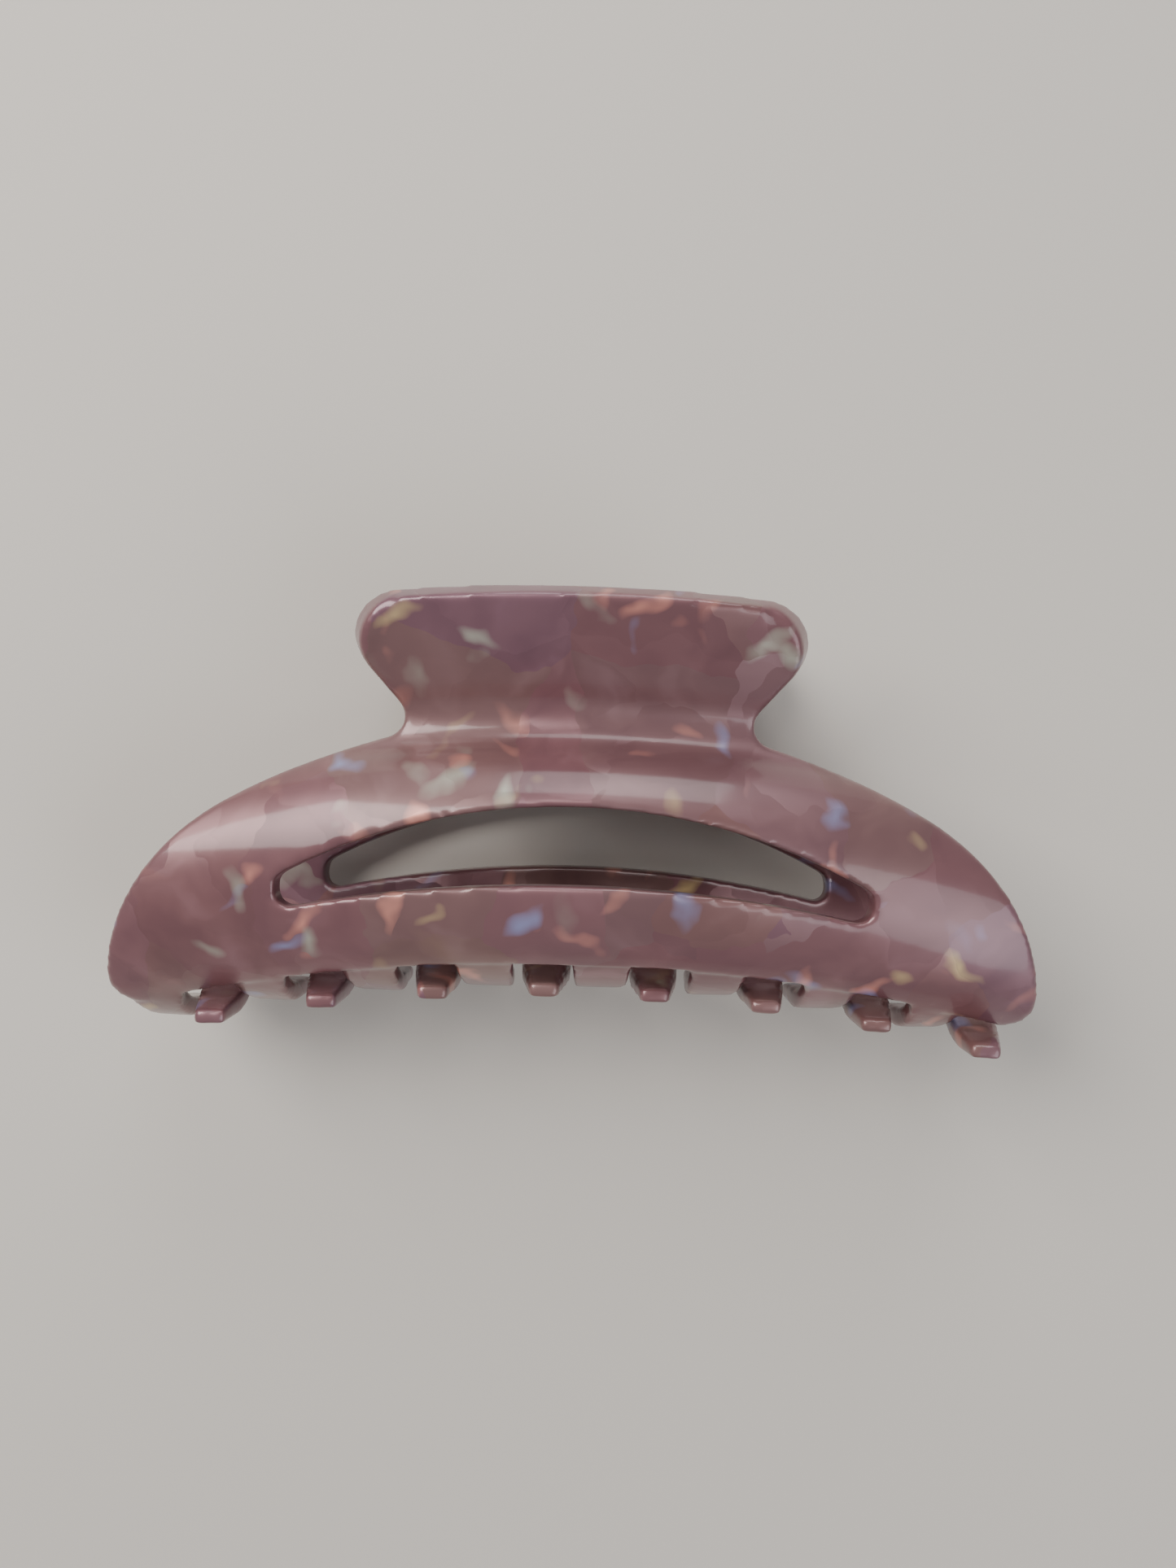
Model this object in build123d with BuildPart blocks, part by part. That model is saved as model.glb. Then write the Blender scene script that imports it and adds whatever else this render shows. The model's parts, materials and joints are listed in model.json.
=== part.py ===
"""Large claw hair clip: two identical curved jaws, a hinge pin and a torsion spring.

The clip lies on its back jaw. +X runs along the hinge, +Y from the teeth to the
handles, +Z from the back jaw to the front jaw. Millimetres.
"""

import os
from math import cos, radians, sin, tan

from build123d import *

# ---- overall position ---------------------------------------------------------
HINGE_Y = 11.142  # from the middle of the clip's height towards the handles
HINGE_Z = 17.533  # half the thickness of the closed clip
THROUGH = 40.0  # cutting depth, more than the thickness of the clip

# ---- jaw side profile, measured out from the hinge plane and up from the hinge ---
WALL = 3.5
BELLY_OUT = 18.0
BELLY_UP = -13.6
LOWER_RADIUS = 18.8
UPPER_RADIUS = 12.0
UPPER_TURN = 60.0  # degrees of the upper belly arc
NECK_RADIUS = 4.2
FLARE_START = 38.0  # handle lean where it leaves the neck
FLARE_END = 27.0  # handle lean at its tip
HANDLE_TOP = 13.6
BAR_TURN = 48.6  # degrees of the lower belly arc

# ---- bow of the jaw: the profile is swept about a leaning axis --------------------
BOW_RADIUS = 128.0
BOW_LEAN = 41.5  # direction of the bow centre, degrees below the hinge plane
BOW_SWEEP = 30.0  # each way

# ---- face outline ---------------------------------------------------------------
ARCH_TOP_UP = 1.0
ARCH_SHOULDER = (40.0, -9.85)  # where the crown arc meets the end arc
ARCH_END = (55.5, -37.5)
ARCH_CORNER_RADIUS = 3.5
NECK_HALF_WIDTH = 18.3
NECK_UP = -1.2
NECK_FILLET = 2.5
HANDLE_SLANT = 49.8  # degrees between the handle sides and the hinge
HANDLE_LENGTH = 22.0
HANDLE_CORNER_RADIUS = 5.5
JAW_GAP = 0.4  # between the ends of the closed jaws

WINDOW_HALF_LENGTH = 33.4
WINDOW_TIP_UP = -20.2
WINDOW_TOP_UP = -9.6
WINDOW_BOTTOM_UP = -18.2
WINDOW_TIP_HEIGHT = 3.7
WINDOW_FILLET = 1.6

# ---- teeth ----------------------------------------------------------------------
STRIP_INSET = 0.35  # strip faces sit this far inside the plate faces
STRIP_LIP = 0.15  # the strip shows this much below the bar
STRIP_RISE = 2.5
STRIP_SWEEP = 22.4  # each way
TOOTH_COUNT = 8
TOOTH_PITCH = 13.7
TOOTH_SHIFT = -TOOTH_PITCH / 4  # puts each tooth in a gap of the turned jaw
TOOTH_REACH = -9.2  # tooth tip, past the hinge plane
TOOTH_TIP_THICK = 1.7
TOOTH_ROOT_WIDTH = 8.4
TOOTH_NECK_WIDTH = 6.9
TOOTH_MID_WIDTH = 6.0
TOOTH_TIP_WIDTH = 3.4
TOOTH_DROP = 0.7  # the end teeth hang this much lower, clear of the other jaw
TOOTH_SHOULDER = 1.8  # length over which the root narrows
TOOTH_NARROWING = 0.15  # the end teeth are this much narrower
TOOTH_TURN = 9.0  # degrees that the end teeth lean towards the middle
TOOTH_INSET = 0.55  # tooth faces sit inside the plate faces
TOOTH_BURY = 9.0  # degrees of the belly arc that the root runs up into the bar
TOOTH_OUTER_END = -90.0  # where the outer face of the tooth leaves the curl
TOOTH_INNER_END = -80.0  # where the inner face leaves it

# ---- hinge lugs, pin and spring ----------------------------------------------------
LUG_RADIUS = 3.9
LUG_THICK = 3.0
LUG_HIGH_ROOT = (8.2, 3.0)  # ends of the lug inside the neck, out and up
LUG_LOW_ROOT = (8.8, -4.2)
LUG_STARTS = (-14.5, 14.8)  # left faces of the two lugs of the front jaw
PIN_RADIUS = 1.0
BORE_RADIUS = 1.05
PIN_HALF_LENGTH = 17.95
PIN_HEAD_RADIUS = 1.7
PIN_HEAD_THICK = 0.7
PIN_HEAD_FILLET = 0.3

WIRE = 1.3
COIL_RADIUS = 3.4
COIL_FULL_TURNS = 7
COIL_PITCH = 1.4
LEG_LENGTH = 11.0
LEG_LEAN = 30.0  # degrees away from the line between the handles

os.makedirs("parts", exist_ok=True)

hinge = Vector(0, HINGE_Y, HINGE_Z)
side = Plane(origin=hinge, x_dir=(0, 0, 1), z_dir=(-1, 0, 0))  # local x out, local y up
face = Plane(origin=hinge)  # local x along the hinge, local y up
turn_axis = Axis(hinge, (0, 1, 0))


def on_circle(centre_x, centre_y, radius, angle):
    """Point of a circle at an angle in degrees."""
    return (centre_x + radius * cos(radians(angle)), centre_y + radius * sin(radians(angle)))


# belly arcs share the level of the belly, the neck arc turns the other way
lower_centre = (BELLY_OUT - LOWER_RADIUS, BELLY_UP)
upper_centre = (BELLY_OUT - UPPER_RADIUS, BELLY_UP)
neck_start = on_circle(*upper_centre, UPPER_RADIUS, UPPER_TURN)
neck_centre = on_circle(*upper_centre, UPPER_RADIUS + NECK_RADIUS, UPPER_TURN)
neck_middle = on_circle(*neck_centre, NECK_RADIUS, 180)
neck_end = on_circle(*neck_centre, NECK_RADIUS, 180 - FLARE_START)
handle_rise = HANDLE_TOP - neck_end[1]
handle_radius = handle_rise / (sin(radians(FLARE_START)) - sin(radians(FLARE_END)))
bar_bottom = on_circle(*lower_centre, LOWER_RADIUS, -BAR_TURN)

# axis that the profile is swept about
bow_out = -BOW_RADIUS * cos(radians(BOW_LEAN))
bow_up = -BOW_RADIUS * sin(radians(BOW_LEAN))
bow_centre = side.from_local_coords((lower_centre[0] + bow_out, lower_centre[1] + bow_up, 0))
bow_axis = Axis(bow_centre, (0, cos(radians(BOW_LEAN)), -sin(radians(BOW_LEAN))))


# ---- teeth: each carries the bar on round to the far side of the clip ------------------
def make_tooth(along):
    """Tooth whose root sits at a distance along the bar edge from the middle of the jaw."""
    swing = along / BOW_RADIUS
    sink = BOW_RADIUS * (1 - cos(swing))
    root_out = bar_bottom[0] - sink * cos(radians(BOW_LEAN))
    root_up = bar_bottom[1] - sink * sin(radians(BOW_LEAN)) - TOOTH_DROP * (along / ARCH_END[0]) ** 2
    across = BOW_RADIUS * sin(swing)
    turn = radians(TOOTH_TURN) * across / ARCH_END[0]
    narrow = 1 - TOOTH_NARROWING * abs(across) / ARCH_END[0]
    reach = root_out - TOOTH_REACH
    curl = LOWER_RADIUS * reach / (bar_bottom[0] - TOOTH_REACH)
    centre = on_circle(0, 0, curl, 180 - BAR_TURN)
    root_turn = TOOTH_BURY - BAR_TURN
    root = hinge + Vector(across, root_up, root_out)
    section = Plane(origin=root, x_dir=(sin(turn), 0, cos(turn)), z_dir=(-cos(turn), 0, sin(turn)))
    plan = Plane(origin=root, x_dir=(cos(turn), 0, -sin(turn)), z_dir=(0, -1, 0))
    with BuildPart() as tooth:
        with BuildSketch(section):
            with BuildLine():
                outer_skin = curl - TOOTH_INSET
                inner_skin = curl - WALL + TOOTH_INSET
                outer_end = on_circle(*centre, outer_skin, TOOTH_OUTER_END)
                inner_end = on_circle(*centre, inner_skin, TOOTH_INNER_END)
                tip_low = (-reach, outer_end[1])
                tip_high = (-reach, outer_end[1] + TOOTH_TIP_THICK)
                ThreePointArc(
                    on_circle(*centre, outer_skin, root_turn),
                    on_circle(*centre, outer_skin, (root_turn + TOOTH_OUTER_END) / 2),
                    outer_end,
                )
                Polyline(outer_end, tip_low, tip_high, inner_end)
                ThreePointArc(
                    inner_end,
                    on_circle(*centre, inner_skin, (root_turn + TOOTH_INNER_END) / 2),
                    on_circle(*centre, inner_skin, root_turn),
                )
                Line(
                    on_circle(*centre, inner_skin, root_turn),
                    on_circle(*centre, outer_skin, root_turn),
                )
            make_face()
        extrude(amount=TOOTH_PITCH / 2, both=True)
        with BuildSketch(plan):
            with BuildLine():
                Polyline(
                    (0, TOOTH_PITCH),
                    (narrow * TOOTH_ROOT_WIDTH / 2, TOOTH_PITCH),
                    (narrow * TOOTH_ROOT_WIDTH / 2, 0),
                    (narrow * TOOTH_NECK_WIDTH / 2, -TOOTH_SHOULDER),
                    (narrow * TOOTH_MID_WIDTH / 2, -reach / 2),
                    (TOOTH_TIP_WIDTH / 2, -reach),
                    (0, -reach),
                )
                mirror(about=Plane.YZ)
            make_face()
        extrude(amount=THROUGH, both=True, mode=Mode.INTERSECT)
    return tooth.part


def on_bar(depth, up):
    """Side-profile point at a depth inside the outer face and a distance up from the bar edge."""
    lean = radians(BAR_TURN)
    return (
        bar_bottom[0] - depth * cos(lean) + up * sin(lean),
        bar_bottom[1] + depth * sin(lean) + up * cos(lean),
    )


# strip along the bar edge that carries the eight teeth
with BuildPart() as comb:
    with BuildSketch(side):
        Polygon(
            on_bar(STRIP_INSET, -STRIP_LIP),
            on_bar(WALL - STRIP_INSET, -STRIP_LIP),
            on_bar(WALL - STRIP_INSET, STRIP_RISE),
            on_bar(STRIP_INSET, STRIP_RISE),
            align=None,
        )
    strip = revolve(axis=bow_axis, revolution_arc=2 * STRIP_SWEEP, mode=Mode.PRIVATE)
    add(strip.rotate(bow_axis, -STRIP_SWEEP))
    for number in range(TOOTH_COUNT):
        add(make_tooth((number - (TOOTH_COUNT - 1) / 2) * TOOTH_PITCH + TOOTH_SHIFT))

# ---- front jaw ----------------------------------------------------------------------
with BuildPart() as front_jaw:
    # plate swept along the bow: the profile line thickened inwards
    with BuildSketch(side):
        with BuildLine():
            ThreePointArc(
                bar_bottom,
                on_circle(*lower_centre, LOWER_RADIUS, -BAR_TURN / 2),
                (BELLY_OUT, BELLY_UP),
            )
            ThreePointArc(
                (BELLY_OUT, BELLY_UP),
                on_circle(*upper_centre, UPPER_RADIUS, UPPER_TURN / 2),
                neck_start,
            )
            ThreePointArc(neck_start, neck_middle, neck_end)
            JernArc(
                start=neck_end,
                tangent=(sin(radians(FLARE_START)), cos(radians(FLARE_START))),
                radius=handle_radius,
                arc_size=FLARE_START - FLARE_END,
            )
            offset(amount=WALL, side=Side.LEFT)
        make_face()
    swept = revolve(axis=bow_axis, revolution_arc=2 * BOW_SWEEP, mode=Mode.PRIVATE)
    add(swept.rotate(bow_axis, -BOW_SWEEP))

    # outline seen from the front, left long where the plate has its own ends
    with BuildSketch(Plane(origin=hinge - Vector(0, 0, WALL))) as outline:
        with BuildLine():
            left_shoulder = (-ARCH_SHOULDER[0], ARCH_SHOULDER[1])
            left_end = (-ARCH_END[0], ARCH_END[1])
            crown = ThreePointArc(left_shoulder, (0, ARCH_TOP_UP), ARCH_SHOULDER)
            TangentArc(ARCH_SHOULDER, ARCH_END, tangent=crown % 1)
            Polyline(
                ARCH_END,
                (ARCH_END[0], ARCH_END[1] - 2 * WALL),
                (-ARCH_END[0], ARCH_END[1] - 2 * WALL),
                left_end,
            )
            TangentArc(left_shoulder, left_end, tangent=(crown % 0) * -1)
        make_face()
        handle_spread = HANDLE_LENGTH / tan(radians(HANDLE_SLANT))
        Polygon(
            (-NECK_HALF_WIDTH, NECK_UP),
            (NECK_HALF_WIDTH, NECK_UP),
            (NECK_HALF_WIDTH + handle_spread, NECK_UP + HANDLE_LENGTH),
            (-NECK_HALF_WIDTH - handle_spread, NECK_UP + HANDLE_LENGTH),
            align=None,
        )
        near_middle = outline.vertices().filter_by(lambda v: abs(v.X) < NECK_HALF_WIDTH + NECK_FILLET)
        neck_corners = near_middle.filter_by(lambda v: v.Y < NECK_FILLET)
        fillet(neck_corners, NECK_FILLET)
    extrude(amount=THROUGH, mode=Mode.INTERSECT)

    # rounded corners at the ends of the bar and of the handle
    through = front_jaw.edges().filter_by(lambda e: e.length < 2 * WALL)
    bar_corners = through.filter_by(lambda e: e.center().Y < HINGE_Y + ARCH_END[1] + 2 * WALL)
    fillet(bar_corners, ARCH_CORNER_RADIUS)
    through = front_jaw.edges().filter_by(lambda e: e.length < 2 * WALL)
    through = through.filter_by(lambda e: e.center().Y > HINGE_Y)
    fillet(through.sort_by(lambda e: abs(e.center().X))[-2:], HANDLE_CORNER_RADIUS)

    # the ends of the two jaws stay a little apart
    split(bisect_by=Plane(origin=hinge + Vector(0, 0, JAW_GAP / 2)), keep=Keep.TOP)

    # crescent window between the arch and the tooth bar
    with BuildSketch(face) as window:
        with BuildLine():
            tip_high = (WINDOW_HALF_LENGTH, WINDOW_TIP_UP + WINDOW_TIP_HEIGHT / 2)
            tip_low = (WINDOW_HALF_LENGTH, WINDOW_TIP_UP - WINDOW_TIP_HEIGHT / 2)
            ThreePointArc((-tip_high[0], tip_high[1]), (0, WINDOW_TOP_UP), tip_high)
            Line(tip_high, tip_low)
            ThreePointArc(tip_low, (0, WINDOW_BOTTOM_UP), (-tip_low[0], tip_low[1]))
            Line((-tip_low[0], tip_low[1]), (-tip_high[0], tip_high[1]))
        make_face()
        fillet(window.vertices(), WINDOW_FILLET)
    extrude(amount=THROUGH, mode=Mode.SUBTRACT)

    # hinge lugs
    for start in LUG_STARTS:
        with BuildSketch(side.offset(-start)):
            with BuildLine():
                CenterArc((0, 0), LUG_RADIUS, 90, 180)
                Line(LUG_HIGH_ROOT, LUG_LOW_ROOT)
            make_hull()
            Circle(BORE_RADIUS, mode=Mode.SUBTRACT)
        extrude(amount=-LUG_THICK)

    add(comb.part)
front_jaw.part.label = "front_jaw"

# ---- rear jaw: the same moulding turned half round -------------------------------------
with BuildPart() as rear_jaw:
    add(front_jaw.part.rotate(turn_axis, 180))
rear_jaw.part.label = "rear_jaw"

# ---- hinge pin with a head at each end ---------------------------------------------------
with BuildPart() as hinge_pin:
    with Locations(hinge):
        Cylinder(PIN_RADIUS, 2 * PIN_HALF_LENGTH, rotation=(0, 90, 0))
    for end in (-1, 1):
        with Locations(hinge + Vector(end * (PIN_HALF_LENGTH + PIN_HEAD_THICK / 2), 0, 0)):
            Cylinder(PIN_HEAD_RADIUS, PIN_HEAD_THICK, rotation=(0, 90, 0))
    fillet(hinge_pin.edges().group_by(Axis.X)[0], PIN_HEAD_FILLET)
    fillet(hinge_pin.edges().group_by(Axis.X)[-1], PIN_HEAD_FILLET)
hinge_pin.part.label = "hinge_pin"

# ---- torsion spring: a coil round the pin with a leg up each handle -----------------------
coil_turns = COIL_FULL_TURNS + (180 - 2 * LEG_LEAN) / 360
coil_length = coil_turns * COIL_PITCH
coil_start = Plane(
    origin=hinge - Vector(coil_length / 2, 0, 0),
    x_dir=(0, -sin(radians(LEG_LEAN)), cos(radians(LEG_LEAN))),
    z_dir=(1, 0, 0),
)
coil = coil_start.location * Helix(pitch=COIL_PITCH, height=coil_length, radius=COIL_RADIUS)
first_leg = Line(coil @ 0 - (coil % 0) * LEG_LENGTH, coil @ 0)
last_leg = Line(coil @ 1, coil @ 1 + (coil % 1) * LEG_LENGTH)
spring_path = Wire([first_leg, coil, last_leg])
with BuildPart() as torsion_spring:
    with BuildSketch(Plane(origin=first_leg @ 0, z_dir=first_leg % 0)):
        Circle(WIRE / 2)
    sweep(path=spring_path)
torsion_spring.part.label = "torsion_spring"

for body in (front_jaw, rear_jaw, hinge_pin, torsion_spring):
    export_step(body.part, "parts/" + body.part.label + ".step")
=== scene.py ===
import json
import math

import bpy
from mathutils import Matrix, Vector


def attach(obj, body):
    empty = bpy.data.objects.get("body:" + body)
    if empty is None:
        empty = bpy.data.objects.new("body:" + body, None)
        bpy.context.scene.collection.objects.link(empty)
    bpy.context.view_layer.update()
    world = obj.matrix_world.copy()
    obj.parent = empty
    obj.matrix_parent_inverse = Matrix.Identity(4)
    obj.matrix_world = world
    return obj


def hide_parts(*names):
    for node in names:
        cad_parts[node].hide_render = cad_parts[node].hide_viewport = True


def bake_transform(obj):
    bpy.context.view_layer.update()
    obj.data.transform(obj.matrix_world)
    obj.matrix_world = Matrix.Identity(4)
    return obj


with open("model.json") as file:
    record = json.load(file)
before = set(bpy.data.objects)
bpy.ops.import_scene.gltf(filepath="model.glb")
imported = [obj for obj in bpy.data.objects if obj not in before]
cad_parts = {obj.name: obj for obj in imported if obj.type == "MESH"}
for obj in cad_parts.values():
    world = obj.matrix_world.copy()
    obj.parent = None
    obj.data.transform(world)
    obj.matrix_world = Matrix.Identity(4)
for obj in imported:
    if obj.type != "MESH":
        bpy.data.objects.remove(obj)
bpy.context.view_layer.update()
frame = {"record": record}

# Claw clip of pearly mauve acetate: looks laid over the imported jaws, pin and spring. Metres.

# ---- frame facts ------------------------------------------------------------
joint = frame["record"]["behaviour"]["joints"][0]
HINGE = Vector(joint["pos_m"])
BORE_KEEP = 0.0022  # no softening this close to the hinge axis, so the bores stay true
VOXEL = 0.00036
SOFTEN_FACTOR = 0.5
SOFTEN_STEPS = 14

# camera looks straight down, a little off the middle of the clip
CAMERA_LENS = 27.0
CAMERA_SENSOR = 36.0
CAMERA_NEAR = 0.005
CAMERA_ACROSS = 0.0012
CAMERA_DROP = 0.007  # below the hinge, towards the teeth
CAMERA_RISE = 0.145  # above the hinge
CAMERA_ROLL = 1.7  # degrees

# pearl: cells per metre, and how far chip colour may bend the surface
RIPPLE_SCALE = 160.0
RIPPLE_REACH = 0.006
WIDE_CHIP_SCALE = 62.0
SMALL_CHIP_SCALE = 118.0
# the painted sheen's noise: cells per metre
PAINTED_SHEEN_SCALE = 60.0
WIDE_TILT = 0.2
SMALL_TILT = 0.14
MID_GREY = (0.5, 0.5, 0.5)

# painted glints: random value above which a chip gets a painted glint, how strongly, and how far the glint
# spreads in its cell
GLINT_LIT_FROM = 0.52
GLINT_LIT_FULL = 0.62
GLINT_STRENGTH = 0.70
GLINT_REACH = 0.30

# steel
MARK_SCALE = 900.0
SPRING_TONE = 0.55
PIN_TONE = 0.62

# floor and studio
FLOOR_SIZE = 4.0
FLOOR_COLOUR = (0.62, 0.58, 0.53, 1.0)
FLOOR_ROUGHNESS = 0.9
STUDIO_COLOUR = (0.80, 0.80, 0.82, 1.0)
STUDIO_STRENGTH = 0.45

# colours of the painted glints on the pearl chips
PAINTED_GLINT_COLOURS = {
    "salmon": (0.90, 0.36, 0.27),
    "gold": (0.82, 0.62, 0.28),
    "blue": (0.30, 0.36, 0.66),
    "mint": (0.50, 0.52, 0.42),
}

# runs of slim chips with painted glints, each lying its own way: cells per metre, turn, stretch
GLINT_RUNS = (
    (230.0, (0.1, 0.2, 0.6), (0.27, 1.0, 0.6)),
    (260.0, (0.2, -0.1, -0.7), (0.24, 1.0, 0.6)),
    (240.0, (-0.2, 0.1, 1.5), (0.30, 1.0, 0.6)),
)


# ---- node helpers -------------------------------------------------------------
def new_material(name):
    material = bpy.data.materials.new(name)
    material.use_nodes = True
    tree = material.node_tree
    tree.nodes.clear()
    output = tree.nodes.new("ShaderNodeOutputMaterial")
    shader = tree.nodes.new("ShaderNodeBsdfPrincipled")
    tree.links.new(shader.outputs["BSDF"], output.inputs["Surface"])
    return material, tree, shader


def vector_math(tree, operation, first, second=None, scale=None):
    node = tree.nodes.new("ShaderNodeVectorMath")
    node.operation = operation
    for socket, value in ((0, first), (1, second)):
        if value is None:
            continue
        if hasattr(value, "links"):
            tree.links.new(value, node.inputs[socket])
        else:
            node.inputs[socket].default_value = value
    if scale is not None:
        node.inputs["Scale"].default_value = scale
    return node.outputs["Vector"]


def shards(tree, coords, scale, turn, stretch, shift):
    """Flat-sided chips of random colour: one Voronoi lattice, turned and stretched."""
    mapping = tree.nodes.new("ShaderNodeMapping")
    mapping.inputs["Location"].default_value = shift
    mapping.inputs["Rotation"].default_value = turn
    mapping.inputs["Scale"].default_value = stretch
    tree.links.new(coords, mapping.inputs["Vector"])
    cells = tree.nodes.new("ShaderNodeTexVoronoi")
    cells.inputs["Scale"].default_value = scale
    tree.links.new(mapping.outputs["Vector"], cells.inputs["Vector"])
    return cells


def ramp(tree, factor, stops, mode="LINEAR"):
    node = tree.nodes.new("ShaderNodeValToRGB")
    node.color_ramp.interpolation = mode
    while len(node.color_ramp.elements) < len(stops):
        node.color_ramp.elements.new(0.5)
    for element, (position, colour) in zip(node.color_ramp.elements, stops):
        element.position = position
        element.color = (*colour, 1.0)
    tree.links.new(factor, node.inputs["Fac"])
    return node.outputs["Color"]


def mix(tree, factor, first, second, blend="MIX"):
    node = tree.nodes.new("ShaderNodeMix")
    node.data_type = "RGBA"
    node.blend_type = blend
    for name, value in (("Factor", factor), ("A", first), ("B", second)):
        socket = [s for s in node.inputs if s.name == name and s.enabled][0]
        if hasattr(value, "links"):
            tree.links.new(value, socket)
        else:
            socket.default_value = value
    return [s for s in node.outputs if s.enabled][0]


def painted_glints(tree, coords, below, size, turn, stretch, shift):
    """Paints glints on slim chips over the colour below; the few chips that get a painted glint are picked
    at random.
    """
    turned = tree.nodes.new("ShaderNodeMapping")
    turned.inputs["Rotation"].default_value = turn
    tree.links.new(coords, turned.inputs["Vector"])
    cells = shards(tree, turned.outputs["Vector"], size, (0.0, 0.0, 0.0), stretch, shift)
    split = tree.nodes.new("ShaderNodeSeparateColor")
    tree.links.new(cells.outputs["Color"], split.inputs["Color"])
    lit = ramp(tree, split.outputs["Green"], ((GLINT_LIT_FROM, (0, 0, 0)), (GLINT_LIT_FULL, (1, 1, 1))))
    glint_falloff = ramp(tree, cells.outputs["Distance"], ((0.0, (GLINT_STRENGTH,) * 3), (GLINT_REACH, (0, 0, 0))))
    glint_hue = ramp(
        tree,
        split.outputs["Blue"],
        ((0.0, PAINTED_GLINT_COLOURS["salmon"]), (0.28, PAINTED_GLINT_COLOURS["gold"]), (0.56, PAINTED_GLINT_COLOURS["blue"]), (0.84, PAINTED_GLINT_COLOURS["mint"])),
        "CONSTANT",
    )
    return mix(tree, mix(tree, 1.0, lit, glint_falloff, "MULTIPLY"), below, glint_hue)


def pearl(name, shift):
    """Dusty mauve acetate full of pearly chips under a clear polished skin; its colour also carries
    painted sheen and painted glints.
    """
    material, tree, shader = new_material(name)
    plain_coords = tree.nodes.new("ShaderNodeTexCoord").outputs["Object"]
    ripple = tree.nodes.new("ShaderNodeTexNoise")
    ripple.inputs["Scale"].default_value = RIPPLE_SCALE
    tree.links.new(plain_coords, ripple.inputs["Vector"])
    wander = vector_math(tree, "SUBTRACT", ripple.outputs["Color"], MID_GREY)
    wander = vector_math(tree, "SCALE", wander, scale=RIPPLE_REACH)
    coords = vector_math(tree, "ADD", plain_coords, wander)
    wide = shards(tree, coords, WIDE_CHIP_SCALE, (0.3, 0.2, 0.7), (1.0, 0.62, 0.8), shift)
    small = shards(tree, coords, SMALL_CHIP_SCALE, (0.9, 0.1, -0.5), (0.7, 1.0, 1.0), shift)
    split_wide = tree.nodes.new("ShaderNodeSeparateColor")
    tree.links.new(wide.outputs["Color"], split_wide.inputs["Color"])

    # painted sheen: noise that lightens and darkens the colour in silky swirls
    painted_sheen_noise = tree.nodes.new("ShaderNodeTexNoise")
    painted_sheen_noise.inputs["Scale"].default_value = PAINTED_SHEEN_SCALE
    painted_sheen_noise.inputs["Detail"].default_value = 2.0
    painted_sheen_noise.inputs["Distortion"].default_value = 1.5
    tree.links.new(coords, painted_sheen_noise.inputs["Vector"])

    tint = ramp(
        tree,
        split_wide.outputs["Red"],
        (
            (0.0, (0.205, 0.088, 0.098)),
            (0.25, (0.212, 0.098, 0.108)),
            (0.50, (0.200, 0.095, 0.122)),
            (0.70, (0.210, 0.112, 0.104)),
            (0.85, (0.218, 0.098, 0.100)),
            (1.0, (0.198, 0.088, 0.100)),
        ),
    )
    painted_sheen = ramp(
        tree,
        painted_sheen_noise.outputs["Fac"],
        ((0.30, (0.80, 0.76, 0.80)), (0.55, (1.0, 1.0, 1.0)), (0.75, (1.30, 1.42, 1.45))),
    )
    body = mix(tree, 1.0, tint, painted_sheen, "MULTIPLY")
    # painted glints laid over the colour of the acetate
    for size, turn, stretch in GLINT_RUNS:
        body = painted_glints(tree, coords, body, size, turn, stretch, shift)
    tree.links.new(body, shader.inputs["Base Color"])

    normal = tree.nodes.new("ShaderNodeNewGeometry").outputs["Normal"]
    tilt_wide = vector_math(tree, "SUBTRACT", wide.outputs["Color"], MID_GREY)
    tilt_wide = vector_math(tree, "SCALE", tilt_wide, scale=WIDE_TILT)
    tilt_small = vector_math(tree, "SUBTRACT", small.outputs["Color"], MID_GREY)
    tilt_small = vector_math(tree, "SCALE", tilt_small, scale=SMALL_TILT)
    leaning = vector_math(tree, "ADD", normal, tilt_wide)
    leaning = vector_math(tree, "ADD", leaning, tilt_small)
    tree.links.new(vector_math(tree, "NORMALIZE", leaning), shader.inputs["Normal"])

    shader.inputs["Metallic"].default_value = 0.3
    shader.inputs["Roughness"].default_value = 0.36
    shader.inputs["Coat Weight"].default_value = 0.6
    shader.inputs["Coat Roughness"].default_value = 0.11
    return material


def steel(name, tone):
    """Bright drawn wire with faint lengthwise marks."""
    material, tree, shader = new_material(name)
    coords = tree.nodes.new("ShaderNodeTexCoord").outputs["Object"]
    marks = tree.nodes.new("ShaderNodeTexNoise")
    marks.inputs["Scale"].default_value = MARK_SCALE
    tree.links.new(coords, marks.inputs["Vector"])
    colour = ramp(tree, marks.outputs["Fac"], ((0.3, (tone * 0.9,) * 3), (0.7, (tone, tone, tone * 0.97))))
    tree.links.new(colour, shader.inputs["Base Color"])
    shader.inputs["Metallic"].default_value = 1.0
    shader.inputs["Roughness"].default_value = 0.28
    return material


# ---- pieces ---------------------------------------------------------------------
def copy_of(node, name):
    """A free copy of a CAD node's mesh, in the shared frame."""
    source = bpy.data.objects[node]
    mesh = source.data.copy()
    mesh.transform(source.matrix_world)
    piece = bpy.data.objects.new(name, mesh)
    bpy.context.scene.collection.objects.link(piece)
    return piece


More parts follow.
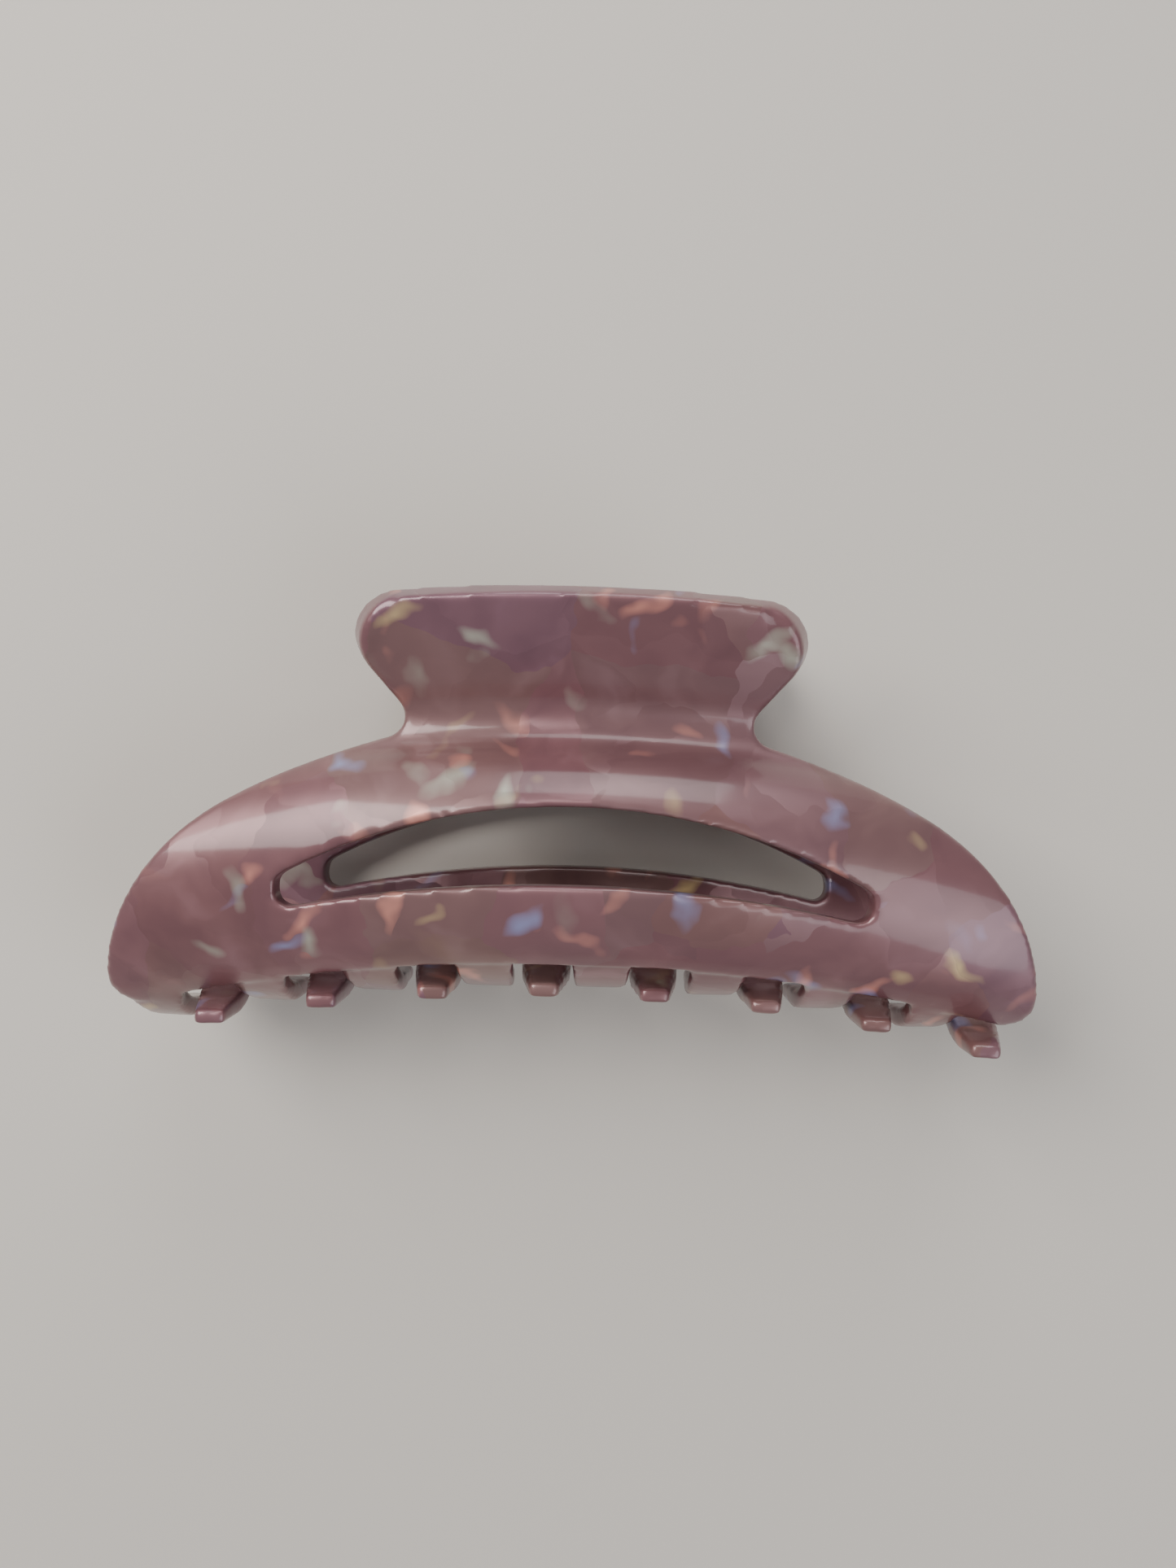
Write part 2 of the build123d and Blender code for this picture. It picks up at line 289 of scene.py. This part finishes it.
def moulded(node, name, material):
    """The jaw as it leaves the polishing drum: every rim softened, the bores kept."""
    piece = copy_of(node, name)
    bpy.context.view_layer.objects.active = piece
    remesh = piece.modifiers.new("even", "REMESH")
    remesh.mode = "VOXEL"
    remesh.voxel_size = VOXEL
    bpy.ops.object.modifier_apply(modifier="even")
    soft = piece.vertex_groups.new(name="soft")
    free = [
        v.index
        for v in piece.data.vertices
        if math.hypot(v.co.y - HINGE.y, v.co.z - HINGE.z) > BORE_KEEP
    ]
    soft.add(free, 1.0, "REPLACE")
    smooth = piece.modifiers.new("soften", "SMOOTH")
    smooth.factor = SOFTEN_FACTOR
    smooth.iterations = SOFTEN_STEPS
    smooth.vertex_group = "soft"
    bpy.ops.object.modifier_apply(modifier="soften")
    piece.data.polygons.foreach_set("use_smooth", [True] * len(piece.data.polygons))
    piece.data.materials.clear()
    piece.data.materials.append(material)
    return piece


front = moulded("front_jaw", "front_shell", pearl("front_pearl", (0.0, 0.0, 0.0)))
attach(front, "front")
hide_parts("front_jaw")

rear = moulded("rear_jaw", "rear_shell", pearl("rear_pearl", (0.31, 0.17, 0.53)))
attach(rear, "rear")
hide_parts("rear_jaw")

spring = copy_of("torsion_spring", "wire_spring")
spring.data.materials.clear()
spring.data.materials.append(steel("spring_wire", SPRING_TONE))
spring.data.polygons.foreach_set("use_smooth", [True] * len(spring.data.polygons))
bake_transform(spring)
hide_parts("torsion_spring")

pin = bpy.data.objects["hinge_pin"]
pin.data.materials.clear()
pin.data.materials.append(steel("pin_steel", PIN_TONE))

# ---- floor, lights, camera ----------------------------------------------------------
bpy.ops.mesh.primitive_plane_add(size=FLOOR_SIZE, location=(0, 0, 0))
floor = bpy.context.object
floor.name = "floor"
floor_material, _, floor_shader = new_material("floor_pale")
floor_shader.inputs["Base Color"].default_value = FLOOR_COLOUR
floor_shader.inputs["Roughness"].default_value = FLOOR_ROUGHNESS
floor.data.materials.append(floor_material)


def area_light(name, place, size, watts, colour=(1.0, 1.0, 1.0)):
    data = bpy.data.lights.new(name, "AREA")
    data.size = size
    data.energy = watts
    data.color = colour
    lamp = bpy.data.objects.new(name, data)
    lamp.location = place
    lamp.rotation_euler = (Vector((0, 0, 0)) - Vector(place)).to_track_quat("-Z", "Y").to_euler()
    bpy.context.scene.collection.objects.link(lamp)


area_light("key", (-0.32, 0.22, 0.42), 0.34, 3.2, (1.0, 0.97, 0.93))
area_light("fill", (0.40, -0.25, 0.45), 0.45, 1.6, (0.93, 0.96, 1.0))
area_light("back", (0.05, 0.55, 0.25), 0.30, 1.2)

world = bpy.data.worlds.new("studio")
world.use_nodes = True
world.node_tree.nodes["Background"].inputs["Color"].default_value = STUDIO_COLOUR
world.node_tree.nodes["Background"].inputs["Strength"].default_value = STUDIO_STRENGTH
bpy.context.scene.world = world

camera_data = bpy.data.cameras.new("camera")
camera_data.lens = CAMERA_LENS
camera_data.sensor_width = CAMERA_SENSOR
camera_data.clip_start = CAMERA_NEAR
camera = bpy.data.objects.new("camera", camera_data)
camera.location = (CAMERA_ACROSS, HINGE.y - CAMERA_DROP, HINGE.z + CAMERA_RISE)
camera.rotation_euler = (0, 0, math.radians(CAMERA_ROLL))
bpy.context.scene.collection.objects.link(camera)
bpy.context.scene.camera = camera
